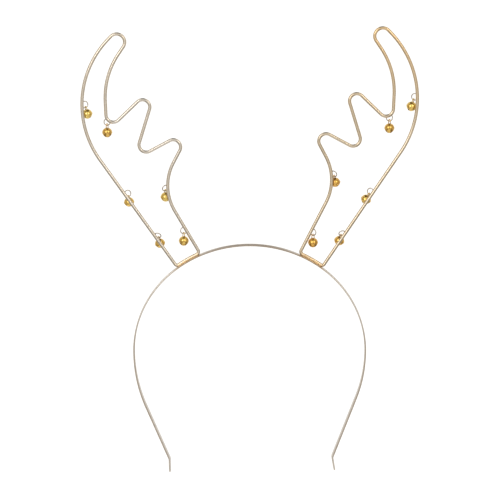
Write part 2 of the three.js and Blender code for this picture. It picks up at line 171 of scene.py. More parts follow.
# Clearances and solder, as the solids have them
LINK_GAP = 0.36 * MM
PELLET_GAP = 0.4 * MM
SOLDER_SINK = 0.2 * MM
SOLDER_BEAD = 0.7 * MM
SEAM_SPREAD = 1.5 * MM  # middle of the foot out to the edge of its solder, on the strip
SEAM_SHORT = 0.4 * MM
SEAM_SINK = 0.08 * MM  # the solder's foot lies this deep in the strip
SEAM_TOP = 0.25 * WIRE_RADIUS  # the solder ends this far under the wire's middle
SEAM_WAIST = 0.86 * WIRE_RADIUS  # half its width there
SEAM_RIPPLES = ((0.04, 5.0, 0.7), (0.02, 11.0, 0.0))  # share of the width, half turns and start
SEAM_END = 0.02  # share of the width that is left at its two ends
BEAD_SHAPE = np.array((1.15, 0.85, 0.8))
BEAD_BUMPS = (0.06, 0.04)
BEAD_TINT = 0.35

# Fineness of the meshes
STATION_STEP = 0.9 * MM
TURN_STEP = math.radians(5)
WIRE_SIDES = 24
RING_STEPS = 44
RING_SIDES = 12
RING_PROBES = 40  # points of a ring that are held against the wire
HALVINGS = 18
BAIL_SIDES = 12
PETAL_COLUMNS = 14
DOME_ROWS = 18
SEAM_ROWS = 22
PETAL_ROWS = 16
CROWN_STATIONS = 110
SOLDER_STATIONS = 90
PELLET_ROWS = 25
PELLET_COLUMNS = 32
WELD = 0.002 * MM  # points nearer than this are one

# Worked out from the sizes above
TOP_Z = STRIP_THICK / 2
WIDEST_Z = TOP_Z - BAND_RISE
FOOT_LIFT = STRIP_THICK / 2 + WIRE_RADIUS * math.cos(math.pi / 8) - SOLDER_SINK
BAIL_RADIUS = RING_WIRE + LINK_GAP + BAIL_WIRE
HANG_LENGTH = BAIL_NECK + BELL_RADIUS
INNER_RADIUS = BELL_RADIUS - BELL_WALL
FOOT_FROM = math.asin(FOOT_INSIDE / BAND_HALF_WIDTH)
FOOT_TO = math.asin((FOOT_INSIDE + FOOT_ACROSS) / BAND_HALF_WIDTH)
FULL_TURN = 2 * math.pi


# Camera, light and floor

VIEW_DISTANCE = 1.4
VIEW_PITCH = math.radians(9)
VIEW_TARGET = Vector((0.2 * MM, 0.0, -2.6 * MM))
VIEW_WIDTH = 0.3  # what the frame spans at the target
SENSOR_WIDTH = 36.0
CLIP_FROM = 0.05
CLIP_TO = 100.0

ROOM_COLOUR = (0.88, 0.86, 0.83, 1.0)
SILK_POWER = 1.0
SILK_ANGLE = math.radians(80)
SOFTBOXES = {  # place, size, power and colour
    "softbox_left": ((-0.75, -1.25, 0.55), 0.7, 5.0, (1.0, 0.98, 0.95)),
    "softbox_right": ((0.9, -1.2, 0.75), 0.6, 4.5, (1.0, 0.93, 0.8)),
}

FLOOR_DROP = 0.16  # tips of the headband down to the floor
FLOOR_INNER_RINGS = (0.02, 1.0, 4.0)
FLOOR_FLAT = 8.0  # radius out to which it is level
FLOOR_RIM = 30.0
FLOOR_RISE = 3.6
FLOOR_RINGS = 12
FLOOR_SPOKES = 64

CARD_NEAR = 0.2  # middle out to a lying card
CARD_FAR = 0.62  # middle out to a standing card
STANDING_CARD_Y = (-0.75, 0.3)
STANDING_CARD_TOP = 1.2
LYING_CARD_Y = (-0.6, 0.3)
CEILING_CARD_X = (-0.3, 0.3)
CEILING_CARD_Y = (-0.5, 0.8)
CEILING_CARD_Z = 1.0
CARD_COLOURS = {
    "grey_card": (0.50, 0.46, 0.40, 1.0),
    "taupe_card": (0.44, 0.41, 0.36, 1.0),
    "dark_card": (0.06, 0.055, 0.05, 1.0),
}


def place_camera():
    """Long lens in front of the headband, looking a little down on it."""
    lens = bpy.data.cameras.new("long_lens")
    lens.sensor_width = SENSOR_WIDTH
    lens.lens = SENSOR_WIDTH * VIEW_DISTANCE / VIEW_WIDTH
    lens.clip_start = CLIP_FROM
    lens.clip_end = CLIP_TO
    camera = bpy.data.objects.new("camera", lens)
    back = Vector((0.0, -math.cos(VIEW_PITCH), math.sin(VIEW_PITCH)))
    camera.location = VIEW_TARGET + VIEW_DISTANCE * back
    camera.rotation_euler = (-back).to_track_quat("-Z", "Y").to_euler()
    bpy.context.scene.collection.objects.link(camera)
    bpy.context.scene.camera = camera


def add_softbox(name, place, size, power, colour):
    """Square area light that faces the middle of the headband."""
    light = bpy.data.lights.new(name, "AREA")
    light.shape = "SQUARE"
    light.size = size
    light.energy = power
    light.color = colour
    lamp = bpy.data.objects.new(name, light)
    lamp.location = place
    lamp.rotation_euler = (VIEW_TARGET - Vector(place)).to_track_quat("-Z", "Y").to_euler()
    bpy.context.scene.collection.objects.link(lamp)


def light_studio():
    """Soft overhead light on the floor, two softboxes in front, and an even warm tent to be mirrored."""
    world = bpy.data.worlds.new("room")
    world.use_nodes = True
    world.node_tree.nodes["Background"].inputs["Color"].default_value = ROOM_COLOUR
    bpy.context.scene.world = world
    sky = bpy.data.lights.new("overhead_silk", "SUN")
    sky.energy = SILK_POWER
    sky.angle = SILK_ANGLE
    lamp = bpy.data.objects.new("overhead_silk", sky)
    lamp.visible_glossy = False
    bpy.context.scene.collection.objects.link(lamp)
    for name, (place, size, power, colour) in SOFTBOXES.items():
        add_softbox(name, place, size, power, colour)


def sheet_object(name, points, faces, material):
    """A bare mesh object for the studio, from its points and faces."""
    mesh = bpy.data.meshes.new(name)
    mesh.from_pydata(points.tolist(), [], faces.tolist())
    mesh.polygons.foreach_set("use_smooth", np.ones(len(mesh.polygons), bool))
    mesh.materials.append(material)
    thing = bpy.data.objects.new(name, mesh)
    bpy.context.scene.collection.objects.link(thing)
    return thing


def lay_floor():
    """Pale floor: a disc whose height is flat out to a radius and then rises as a smooth step to its rim."""
    radius = np.concatenate([FLOOR_INNER_RINGS, np.linspace(FLOOR_FLAT, FLOOR_RIM, FLOOR_RINGS)])
    rise = np.clip((radius - FLOOR_FLAT) / (FLOOR_RIM - FLOOR_FLAT), 0.0, 1.0)
    height = CAD_BOX[0][2] - FLOOR_DROP + FLOOR_RISE * rise * rise * (3 - 2 * rise)
    angle = np.linspace(0.0, FULL_TURN, FLOOR_SPOKES, endpoint=False)
    x = radius[:, None] * np.cos(angle)
    y = radius[:, None] * np.sin(angle)
    points = np.stack([x, y, np.broadcast_to(height[:, None], x.shape)], -1)
    faces = grid_faces(len(radius), FLOOR_SPOKES, wrap_columns=True)
    paint = pale_floor()
    floor = sheet_object("floor", points.reshape(-1, 3), faces, paint)
    plug = sheet_object("floor_middle", points[0], np.arange(FLOOR_SPOKES)[None, :], paint)
    for part in (floor, plug):
        part.visible_glossy = False


def card_corners(axis, level, first, second):
    """The corners of a flat card at a level on one axis, from its ranges on the other two."""
    along = (first[0], first[1], first[1], first[0])
    across = (second[0], second[0], second[1], second[1])
    return np.insert(np.stack([along, across], -1), axis, level, axis=1)


def stand_cards():
    """Warm grey cards beside the headband and a dark one above it, seen by its reflections alone.

    Each side has a card that stands and one that lies on the floor in front of its foot.
    """
    low = CAD_BOX[0][2] - FLOOR_DROP
    papers = {name: card_paper(name, colour) for name, colour in CARD_COLOURS.items()}
    ceiling = card_corners(2, CEILING_CARD_Z, CEILING_CARD_X, CEILING_CARD_Y)
    boards = {"ceiling_card": (ceiling, "dark_card")}
    for side, way in zip(SIDES, (-1, 1)):
        near, far = way * CARD_NEAR, way * CARD_FAR
        standing = card_corners(0, far, STANDING_CARD_Y, (low, STANDING_CARD_TOP))
        lying = card_corners(2, low, (near, far), LYING_CARD_Y)
        boards[f"side_card_{side}"] = (standing, "grey_card")
        boards[f"floor_card_{side}"] = (lying, "taupe_card")
    for name, (points, paper) in boards.items():
        card = sheet_object(name, points, np.array([[0, 1, 2, 3]]), papers[paper])
        card.visible_camera = False
        card.visible_diffuse = False
        card.visible_shadow = False


# Materials

FLOOR_WHITES = ((0.92, 0.92, 0.92, 1.0), (0.95, 0.95, 0.95, 1.0))
FLOOR_CLOUD_SCALE = 0.7
FLOOR_ROUGHNESS = 0.9
FLOOR_SHEEN = 0.1
PAPER_ROUGHNESS = 0.95

PLATES = {  # pale tone, deep tone, tint where the attribute warmth is 1, and roughness
    "champagne_plate": ((0.78, 0.73, 0.66), (0.73, 0.65, 0.55), (0.84, 0.65, 0.38), 0.21),
    "warm_plate": ((0.77, 0.67, 0.52), (0.71, 0.58, 0.42), (0.76, 0.54, 0.29), 0.21),
    "strip_plate": ((0.79, 0.745, 0.695), (0.75, 0.68, 0.60), (0.80, 0.56, 0.28), 0.26),
    "ring_plate": ((0.62, 0.58, 0.53), (0.51, 0.46, 0.41), (0.55, 0.42, 0.27), 0.22),
    # the solder's own gold, made darker as painted shadow in the gap under each foot
    "gilded_solder_in_painted_shadow": ((0.60, 0.46, 0.26), (0.50, 0.36, 0.18), (0.55, 0.38, 0.16), 0.33),
}
PLATE_LINES = (90.0, 5200.0, 1.0)  # drawing lines per metre along the piece and round it
PLATE_LINE_SHARE = 0.3
PLATE_DRIFT_SCALE = 70.0
PLATE_GLOSS = (0.75, 1.3)  # shares of the roughness, between and on the lines
PLATE_RELIEF = 0.12
# dark tone of the strip's dull cut edges, which also gives its painted shade at the crown and by the feet
EDGE_SHADE = (0.62, 0.57, 0.52, 1.0)
EDGE_DULLNESS = 0.22

BRASS_YELLOW = (0.86, 0.67, 0.20, 1.0)
BRASS_ORANGE = (0.78, 0.46, 0.11, 1.0)
# dark brass mixed in as painted shade
BRASS_PAINTED_SHADE = (0.20, 0.11, 0.025, 1.0)
BRASS_DRIFT_SCALE = 420.0
BRASS_DRIFT = 0.5
BRASS_MARK_SCALE = 3200.0
BRASS_GLOSS = (0.10, 0.26)
BRASS_RELIEF = 0.15
LACQUER = 0.25
LACQUER_ROUGHNESS = 0.12

STEEL_LIGHT = (0.62, 0.61, 0.60, 1.0)
STEEL_DARK = (0.36, 0.34, 0.32, 1.0)
STEEL_PIT_SCALE = 2600.0
STEEL_GLOSS = (0.28, 0.6)

RELIEF_DEPTH = 0.02 * MM


class Finish:
    """A node material in the making. Its methods add a node and give back the socket it puts out."""

    def __init__(self, name):
        self.material = bpy.data.materials.new(name)
        self.material.use_nodes = True
        self.tree = self.material.node_tree

    def feed(self, node, values):
        """Links a node's sockets to other nodes, or sets those that get a number or a colour."""
        for key, value in values.items():
            if isinstance(value, bpy.types.NodeSocket):
                self.tree.links.new(value, node.inputs[key])
            else:
                node.inputs[key].default_value = value

    def add(self, kind, out, values, **settings):
        """A node of a kind with its settings and its sockets' values."""
        node = self.tree.nodes.new(kind)
        for key, value in settings.items():
            setattr(node, key, value)
        self.feed(node, values)
        return node.outputs[out]

    def place(self):
        """The point's own place in the piece."""
        return self.add("ShaderNodeTexCoord", "Object", {})

    def attribute(self, name):
        """A value that the mesh carries at its points."""
        return self.add("ShaderNodeAttribute", "Fac", {}, attribute_name=name)

    def noise(self, place, scale, detail):
        """Cloudy noise."""
        return self.add("ShaderNodeTexNoise", "Fac", {"Vector": place, "Scale": scale, "Detail": detail})

    def mix(self, factor, first, second, kind="MIX"):
        """Two colours mixed or multiplied."""
        values = {"Factor": factor, "A": first, "B": second}
        return self.add("ShaderNodeMix", "Result", values, data_type="RGBA", blend_type=kind)

    def multiply_add(self, value, factor, more, clamp=False):
        """A value times a factor, and something more."""
        values = {0: value, 1: factor, 2: more}
        return self.add("ShaderNodeMath", "Value", values, operation="MULTIPLY_ADD", use_clamp=clamp)

    def spread(self, value, ends):
        """A value from 0 to 1 spread between two ends."""
        values = {"Value": value, "To Min": ends[0], "To Max": ends[1]}
        return self.add("ShaderNodeMapRange", "Result", values)

    def relief(self, height, strength):
        """A surface normal tilted by a fine relief."""
        values = {"Height": height, "Strength": strength, "Distance": RELIEF_DEPTH}
        return self.add("ShaderNodeBump", "Normal", values)

    def shade(self, values):
        """The finished material, once its shader has these values."""
        self.feed(self.tree.nodes["Principled BSDF"], values)
        return self.material


def pale_floor():
    """Matt white floor paint with a faint cloudiness."""
    paint = Finish("pale_floor")
    cloud = paint.noise(paint.place(), FLOOR_CLOUD_SCALE, 2.0)
    return paint.shade({
        "Base Color": paint.mix(cloud, *FLOOR_WHITES),
        "Roughness": FLOOR_ROUGHNESS,
        "Specular IOR Level": FLOOR_SHEEN,
    })


def card_paper(name, colour):
    """Matt card of one colour."""
    values = {"Base Color": colour, "Roughness": PAPER_ROUGHNESS, "Specular IOR Level": 0.0}
    return Finish(name).shade(values)


def plated_metal(name):
    """Plated metal whose tone drifts between a pale and a deep one, with fine lines along the piece.

    The lines come from the piece's own map, whose first axis runs along it. The attribute warmth brings in
    a golden tint: that of metal near a flame at the feet and rings, and more towards the top of each antler.
    The attribute edge brings in a duller and deeper finish, which on the strip also carries its painted
    shade at the crown and by the feet and its painted highlight over the shoulders and at the tips.
    """
    pale, deep, tint, roughness = PLATES[name]
    plate = Finish(name)
    lay = plate.add("ShaderNodeUVMap", "UV", {}, uv_map="lay")
    drawn = plate.add("ShaderNodeMapping", "Vector", {"Vector": lay, "Scale": PLATE_LINES})
    lines = plate.noise(drawn, 1.0, 3.0)
    drift = plate.noise(plate.place(), PLATE_DRIFT_SCALE, 2.0)
    tone = plate.mix(drift, (*pale, 1.0), (*deep, 1.0))
    lined = plate.mix(PLATE_LINE_SHARE, tone, lines, "MULTIPLY")
    tinted = plate.mix(plate.attribute("warmth"), lined, (*tint, 1.0))
    # edge: the strip's dull cut edges, together with its painted shade and painted highlight
    edge = plate.attribute("edge")
    gloss = plate.spread(lines, [roughness * share for share in PLATE_GLOSS])
    return plate.shade({
        "Metallic": 1.0,
        "Base Color": plate.mix(edge, tinted, EDGE_SHADE, "MULTIPLY"),
        "Roughness": plate.multiply_add(edge, EDGE_DULLNESS, gloss),
        "Normal": plate.relief(lines, PLATE_RELIEF),
    })


def bell_brass():
    """Polished yellow brass under thin lacquer, with painted shade at the seam, slits and bail, and handling
    marks.
    """
    brass = Finish("bell_brass")
    place = brass.place()
    drift = brass.noise(place, BRASS_DRIFT_SCALE, 3.0)
    marks = brass.noise(place, BRASS_MARK_SCALE, 4.0)
    batch = brass.multiply_add(drift, BRASS_DRIFT, brass.attribute("tone"), clamp=True)
    tone = brass.mix(batch, BRASS_YELLOW, BRASS_ORANGE)
    return brass.shade({
        "Metallic": 1.0,
        "Base Color": brass.mix(brass.attribute("recess"), tone, BRASS_PAINTED_SHADE),
        "Roughness": brass.spread(marks, BRASS_GLOSS),
        "Normal": brass.relief(marks, BRASS_RELIEF),
        "Coat Weight": LACQUER,
        "Coat Roughness": LACQUER_ROUGHNESS,
    })


def pellet_steel():
    """Tumbled steel, grey with darker pits."""
    steel = Finish("pellet_steel")
    pits = steel.noise(steel.place(), STEEL_PIT_SCALE, 3.0)
    return steel.shade({
        "Metallic": 1.0,
        "Base Color": steel.mix(pits, STEEL_LIGHT, STEEL_DARK),
        "Roughness": steel.spread(pits, STEEL_GLOSS),
    })


# Meshes from grids

def grid_faces(rows, columns, wrap_rows=False, wrap_columns=False):
    """Quads of a grid, as indices of its points: (i, j), (i, j+1), (i+1, j+1), (i+1, j)."""
    i, j = np.meshgrid(
        np.arange(rows if wrap_rows else rows - 1),
        np.arange(columns if wrap_columns else columns - 1),
        indexing="ij",
    )
    down, right = (i + 1) % rows, (j + 1) % columns
    quads = [i * columns + j, i * columns + right, down * columns + right, down * columns + j]
    return np.stack(quads, -1).reshape(-1, 4)


def grid_lay(rows, columns, along, around, wrap_rows=False, wrap_columns=False):
    """The map of a grid's quads, a corner each, from the lengths along its rows and around its columns."""
    i, j = np.meshgrid(
        np.arange(rows if wrap_rows else rows - 1),
        np.arange(columns if wrap_columns else columns - 1),
        indexing="ij",
    )
    corners = [(i, j), (i, j + 1), (i + 1, j + 1), (i + 1, j)]
    return np.stack([np.stack([along[a], around[b]], -1) for a, b in corners], -2).reshape(-1, 2)


def capped_faces(rows, columns):
    """Quads of a tube whose rows run along it and columns round it, and its two end faces."""
    ring = np.arange(columns)
    return [*grid_faces(rows, columns, wrap_columns=True), ring[::-1], (rows - 1) * columns + ring]


def capped_lay(rows, columns, along, around):
    """The map of such a tube, whose end faces lie at the map's origin."""
    sides = grid_lay(rows, columns, along, around, wrap_columns=True)
    return np.concatenate([sides, np.zeros((2 * columns, 2))])


def shell_of(points, faces, lay=None, **attributes):
    """One closed surface, ready to be joined with others into a piece."""
    count = len(points)
    values = {key: np.broadcast_to(value, (count,)) for key, value in attributes.items()}
    return {"points": points, "faces": faces, "lay": lay, "values": values}


def turned_out(shell):
    """The shell with all its faces the other way round, as a mirror image needs."""
    lay = shell["lay"]
    if lay is not None:
        lay = np.concatenate([piece[::-1] for piece in split_by_face(lay, shell["faces"])])
    return {**shell, "faces": [face[::-1] for face in shell["faces"]], "lay": lay}


def split_by_face(lay, faces):
    """The map's corners, cut into one block for each face."""
    ends = np.cumsum([len(face) for face in faces])[:-1]
    return np.split(lay, ends)


def add_piece(name, shells, material, nodes):
    """Makes shells into one object that rides on the root body and stands for solids of the frame."""
    starts = np.cumsum([0, *(len(shell["points"]) for shell in shells)])
    points = np.concatenate([shell["points"] for shell in shells])
    faces = [
        (np.asarray(face) + start).tolist()
        for shell, start in zip(shells, starts)
        for face in shell["faces"]
    ]
    mesh = bpy.data.meshes.new(name)
    mesh.from_pydata(points.tolist(), [], faces)
    if all(shell["lay"] is not None for shell in shells):
        lay = mesh.uv_layers.new(name="lay")
        corners = np.concatenate([shell["lay"] for shell in shells])
        lay.data.foreach_set("uv", corners.astype(np.float32).ravel())
    for key in shells[0]["values"]:
        values = np.concatenate([shell["values"][key] for shell in shells])
        layer = mesh.attributes.new(key, "FLOAT", "POINT")
        layer.data.foreach_set("value", values.astype(np.float32))
    mesh.polygons.foreach_set("use_smooth", np.ones(len(mesh.polygons), bool))
    mesh.materials.append(material)
    mesh.validate()
    piece = bpy.data.objects.new(name, mesh)
    bpy.context.scene.collection.objects.link(piece)
    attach(piece, "root")
    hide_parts(*nodes)
    return piece


# Flat routes: arrays with a row for each station, and x, z and the heading there

def over_head(angle, lift=0.0):
    """The strip's middle line, half an ellipse (A sin a, B cos a), moved out along its normal by a lift."""
    slope = np.stack([np.sin(angle) / BAND_HALF_WIDTH, np.cos(angle) / BAND_RISE], -1)
    slope /= np.linalg.norm(slope, axis=-1, keepdims=True)
    x = BAND_HALF_WIDTH * np.sin(angle) + lift * slope[..., 0]
    z = WIDEST_Z + BAND_RISE * np.cos(angle) + lift * slope[..., 1]
    return np.stack([x, z, np.arctan2(-slope[..., 0], slope[..., 1])], -1)


def ahead(station, length):
    """Stations straight on from one, up to a distance."""
    x, z, heading = station
    way = np.linspace(0.0, length, max(2, math.ceil(length / STATION_STEP) + 1))[1:]
    return np.stack([x + way * np.cos(heading), z + way * np.sin(heading), np.full_like(way, heading)], -1)


def round_pin(pin, start, end):
    """Stations round a pin between two headings h: its middle plus the radius times (sin h, -cos h)."""
    x, z, radius = pin
    turn = abs(end - start)
    count = max(2, math.ceil(turn * abs(radius) / STATION_STEP), math.ceil(turn / TURN_STEP))
    heading = np.linspace(start, end, count + 1)
    return np.stack([x + radius * np.sin(heading), z - radius * np.cos(heading), heading], -1)


def pin_beside(station, radius):
    """The pin that a route touches at a station."""
    x, z, heading = station
    return (x - radius * math.sin(heading), z + radius * math.cos(heading), radius)


def half_band_route(side):
    """The strip from the top to one tip, drawn on the right: ellipse, cheek, leg and tip."""
    top = over_head(np.linspace(0.0, math.pi / 2, CROWN_STATIONS))
    down = top[-1, 2]
    cheek = round_pin(pin_beside(top[-1], -CHEEK_RADIUS[side]), down, down - CHEEK_TURN[side])
    leg = ahead(cheek[-1], LEG_LENGTH[side])
    tip = round_pin(pin_beside(leg[-1], TIP_BEND), leg[-1, 2], leg[-1, 2] + TIP_TURN[side])
    return np.concatenate([top, cheek[1:], leg, tip[1:], ahead(tip[-1], TIP_LENGTH)])


def band_route():
    """The strip from the left tip, whose half is a mirror image, to the right one."""
    left = half_band_route("left")[:0:-1] * (-1, 1, -1)
    return np.concatenate([left, half_band_route("right")])


def foot_route(steps=24, short=0.0, lift=FOOT_LIFT):
    """The antler's foot along the strip, a little short of its ends if asked."""
    cut = short / BAND_HALF_WIDTH
    return over_head(np.linspace(FOOT_FROM + cut, FOOT_TO - cut, steps + 1), lift)


def heading_between(pin, following):
    """The heading of the straight line that leaves one pin and meets the next."""
    dx, dz = following[0] - pin[0], following[1] - pin[1]
    return math.atan2(dz, dx) - math.asin((following[2] - pin[2]) / math.hypot(dx, dz))


def turned_to(heading, start, radius):
    """The heading that is reached by turning the way the pin turns."""
    turn = (heading - start) % FULL_TURN
    return start + (turn if radius > 0 else turn - FULL_TURN)


def antler_route(side):
    """One antler's closed loop: along the foot, then round each pin and straight on to the next."""
    foot = foot_route()
    middle = over_head(np.array((FOOT_FROM + FOOT_TO) / 2))
    waist = middle[1] + WAIST_HEIGHT[side]
    bends = [
        (middle[0] + out * FORK_HEIGHT, waist + up * FORK_HEIGHT, radius * FORK_HEIGHT)
        for out, up, radius in BENDS.values()
    ]
    pins = [pin_beside(foot[-1], FOOT_OUTER_BEND), *bends, pin_beside(foot[0], FOOT_INNER_BEND)]
    route = [foot[:-1]]
    heading = foot[-1, 2]
    for pin, following in zip(pins, [*pins[1:], None]):
        wanted = heading_between(pin, following) if following else foot[0, 2]
        leaving = turned_to(wanted, heading, pin[2])
        turn = round_pin(pin, heading, leaving)
        route.append(turn)
        if following:
            meets = round_pin(following, leaving, leaving + TURN_STEP)[0]
            gap = math.hypot(meets[0] - turn[-1, 0], meets[1] - turn[-1, 1])
            if gap > 2 * STATION_STEP:
                route.append(ahead(turn[-1], gap)[:-1])
        heading = leaving
    return np.concatenate(route)[:-1]


def run_lengths(points, closed=False):
    """How far along the path each point lies, and once more its start if it is closed."""
    path = np.concatenate([points, points[:1]]) if closed else points
    steps = np.linalg.norm(np.diff(path, axis=0), axis=1)
    return np.concatenate([[0.0], np.cumsum(steps)])


def carried(route, section):
    """A section at every station: x + a * (-sin h), y = b, z + a * cos h, for its points (b, a)."""
    x, z, heading = (route[:, k, None] for k in range(3))
    back, across = np.moveaxis(np.broadcast_to(section, (len(route), *section.shape[-2:])), -1, 0)
    return np.stack([x - across * np.sin(heading), back, z + across * np.cos(heading)], -1)


def mirrored(points, side):
    """The points, or their mirror image for the left side."""
    return points * ((-1, 1, 1) if side == "left" else (1, 1, 1))


# The strip

def strip_section():
    """The points (b, a) all round a flat strip with rounded long edges, and how much each is edge."""
    wide, thick = STRIP_WIDTH / 2 - STRIP_EDGE, STRIP_THICK / 2 - STRIP_EDGE
    angle = np.linspace(0.0, math.pi / 2, 6)
    corners = []
    for quarter, (b, a) in enumerate(((wide, thick), (-wide, thick), (-wide, -thick), (wide, -thick))):
        turn = angle + quarter * math.pi / 2
        corners.append(np.stack([b + STRIP_EDGE * np.cos(turn), a + STRIP_EDGE * np.sin(turn)], -1))
    outline = np.concatenate(corners)
    edge = np.clip((np.abs(outline[:, 0]) - wide) / STRIP_EDGE, 0.0, 1.0)
    return outline, edge


def twisted(section, route):
    """The sections turned about the path by a smooth step, from 0 at the widest place to the legs' twist."""
    down = np.clip((WIDEST_Z - route[:, 1]) / TWIST_DROP, 0.0, 1.0)
    turn = -(LEG_TWIST * down * down * (3 - 2 * down))[:, None]
    b, a = section[..., 0], section[..., 1]
    return np.stack([b * np.cos(turn) - a * np.sin(turn), b * np.sin(turn) + a * np.cos(turn)], -1)


def painted_edge_highlight(route, to_end):
    """Painted highlight that keeps the cut edges bright: a hump sin^2 from foot to widest point, and the two
    tips.
    """
    fall = (TOP_Z - route[:, 1]) / BAND_RISE
    shoulder = np.where(fall < 1.0, np.sin(math.pi * np.clip(fall, 0.0, 1.0)) ** 2, 0.0)
    tips = np.clip(TIP_HIGHLIGHT - to_end / TIP_LENGTH, 0.0, 1.0)
    return np.clip(SHOULDER_HIGHLIGHT * shoulder + tips, 0.0, 1.0)


def rounded_off(to_end):
    """How much narrower each edge is near an end: c - sqrt(c^2 - (c - d)^2) within the corner c of it."""
    short = np.clip(STRIP_CORNER - to_end, 0.0, None)
    return STRIP_CORNER - np.sqrt(STRIP_CORNER**2 - short**2)


def make_band(material):
    """The strip: its section carried from tip to tip, drawn in at both ends to round the corners.

    Its cut edges are dull. As painted shade the whole strip darkens at the crown by exp(-(x / reach)^4), and
    the cut edges darken next to each foot; a painted highlight keeps the cut edges pale over the shoulders
    and at the tips.
    """
    route = band_route()
    length = run_lengths(route[:, :2])
    to_end = np.minimum(length, length[-1] - length)
    outline, edge = strip_section()
    narrow = 1 - rounded_off(to_end) / (STRIP_WIDTH / 2)
    section = twisted(outline * np.stack([narrow, np.ones_like(narrow)], -1)[:, None, :], route)
    points = carried(route, section)
    rows, columns = points.shape[:2]
    around = run_lengths(outline, closed=True)
    faces = capped_faces(rows, columns)
    lay = capped_lay(rows, columns, length, around)
    # painted highlight: the cut edges stay pale over the shoulders and at the tips
    highlit = painted_edge_highlight(route, to_end)[:, None]
    # painted shade: the whole strip is darker at the crown
    crown_shade = np.exp(-((points[..., 0] / CROWN_SHADE_REACH) ** 4))
    warmth = foot_warmth(points)
    # painted shade on the cut edges next to each foot
    foot_edge_shade = FOOT_EDGE_SHADE * edge * warmth.reshape(rows, columns)
    dull_edges_and_painted_light = np.clip(CUT_EDGE_DULL * edge * (1 - highlit) + crown_shade + foot_edge_shade, 0.0, 1.0).ravel()
    shell = shell_of(points.reshape(-1, 3), faces, lay, edge=dull_edges_and_painted_light, warmth=warmth)
    add_piece("headband_strip", [shell], material, ["frame"])


def foot_warmth(points):
    """How golden a point is near an antler's foot: exp(-(d / reach)^2) of its distance d from the foot.

    The gilding is patchy, as a product of two sines.
    """
    flat = points.reshape(-1, 3)
    foot = foot_route(8)
    warm = np.zeros(len(flat))
    for way in (-1, 1):
        gap = np.hypot(flat[:, None, 0] - way * foot[:, 0], flat[:, None, 2] - foot[:, 1]).min(1)
        warm = np.maximum(warm, np.exp(-((gap / FOOT_TINT_REACH) ** 2)))
    patches = np.sin(flat[:, 0] / PATCH_X) * np.sin(flat[:, 1] / PATCH_Y + 1.0)
    return warm * (FOOT_TINT + FOOT_TINT_PATCHES * patches)


# The antlers

def make_antler(side, hung, material):
    """A round wire carried along the antler's closed loop, golden at its foot and a little at its rings."""
    route = antler_route(side)
    angle = np.linspace(0.0, FULL_TURN, WIRE_SIDES, endpoint=False)
    section = WIRE_RADIUS * np.stack([np.cos(angle), np.sin(angle)], -1)
    points = mirrored(carried(route, section), side)
    rows, columns = points.shape[:2]
    length = run_lengths(route[:, :2], closed=True)
    around = WIRE_RADIUS * np.append(angle, FULL_TURN)
    faces = grid_faces(rows, columns, wrap_rows=True, wrap_columns=True)
    lay = grid_lay(rows, columns, length, around, wrap_rows=True, wrap_columns=True)
    flat = points.reshape(-1, 3)
    spots = np.array([ring["solder"] for ring in hung])
    gap = np.linalg.norm(flat[:, None] - spots, axis=-1).min(1)
    high = np.clip((flat[:, 2] / flat[:, 2].max() - BEAM_TINT_FROM) / (1 - BEAM_TINT_FROM), 0.0, 1.0)
    spot = RING_SPOT * np.exp(-((gap / RING_SPOT_REACH) ** 2))
    warmth = np.clip(foot_warmth(flat) + spot + BEAM_TINT[side] * high, 0.0, 1.0)
    shell = shell_of(flat, faces, lay, edge=0.0, warmth=warmth)
    if side == "left":
        shell = turned_out(shell)
    add_piece(f"antler_wire_{side}", [shell], material, ["frame"])


def make_foot_solder(side, material):
    """Solder under an antler's foot: a section with two hollow flanks, drawn in towards its ends.

    A flank runs from the strip up to the wire as a quarter of a hollow ellipse, and its width swells and
    shrinks a little along the seam as the sum of two sines.
    """
    share = np.linspace(0.0, 1.0, SOLDER_STATIONS + 1)
    route = foot_route(SOLDER_STATIONS, SEAM_SHORT, STRIP_THICK / 2)
    ripple = 1 + sum(high * np.sin(halves * share * math.pi + start) for high, halves, start in SEAM_RIPPLES)
    taper = np.sqrt(np.clip(1 - (2 * share - 1) ** 6, 0.0, 1.0)) * (1 - SEAM_END) + SEAM_END
    turn = np.linspace(0.0, math.pi / 2, 9)
    flank_b = SEAM_WAIST + (SEAM_SPREAD - SEAM_WAIST) * (1 - np.sin(turn))
    flank_a = (FOOT_LIFT - STRIP_THICK / 2 - SEAM_TOP) * (1 - np.cos(turn))
    b = np.concatenate([flank_b, -flank_b[::-1]])
    a = np.concatenate([flank_a, flank_a[::-1]])
    width = (ripple * taper)[:, None]
    section = np.stack([b * width, a * taper[:, None] - SEAM_SINK], -1)
    points = mirrored(carried(route, section), side)
    rows, columns = points.shape[:2]
    around = run_lengths(np.stack([b, a], -1), closed=True)
    length = run_lengths(route[:, :2])
    faces = capped_faces(rows, columns)
    lay = capped_lay(rows, columns, length, around)
    # the full dark tint: the solder's own colour together with painted shadow under the foot
    shell = shell_of(points.reshape(-1, 3), faces, lay, edge=0.0, warmth=1.0)
    if side == "left":
        shell = turned_out(shell)
    add_piece(f"foot_solder_{side}", [shell], material, ["frame"])


# The rings

def unit(vector):
    """The vector at length one."""
    return vector / np.linalg.norm(vector)


def way_to_wire(points, wire):
    """The nearest place on the wire's middle line to each point, and the distance to it."""
    start, step = wire, np.roll(wire, -1, axis=0) - wire
    reach = points[:, None] - start
    share = np.clip((reach * step).sum(-1) / (step * step).sum(-1), 0.0, 1.0)
    spots = start + share[..., None] * step
    gaps = np.linalg.norm(points[:, None] - spots, axis=-1)
    best = gaps.argmin(1)
    rows = np.arange(len(points))
    return spots[rows, best], gaps[rows, best]


def circle(middle, across, up, radius, steps):
    """Points of a circle: middle + radius (cos t across + sin t up)."""
    turn = np.linspace(0.0, FULL_TURN, steps, endpoint=False)[:, None]
    return middle + radius * (np.cos(turn) * across + np.sin(turn) * up)


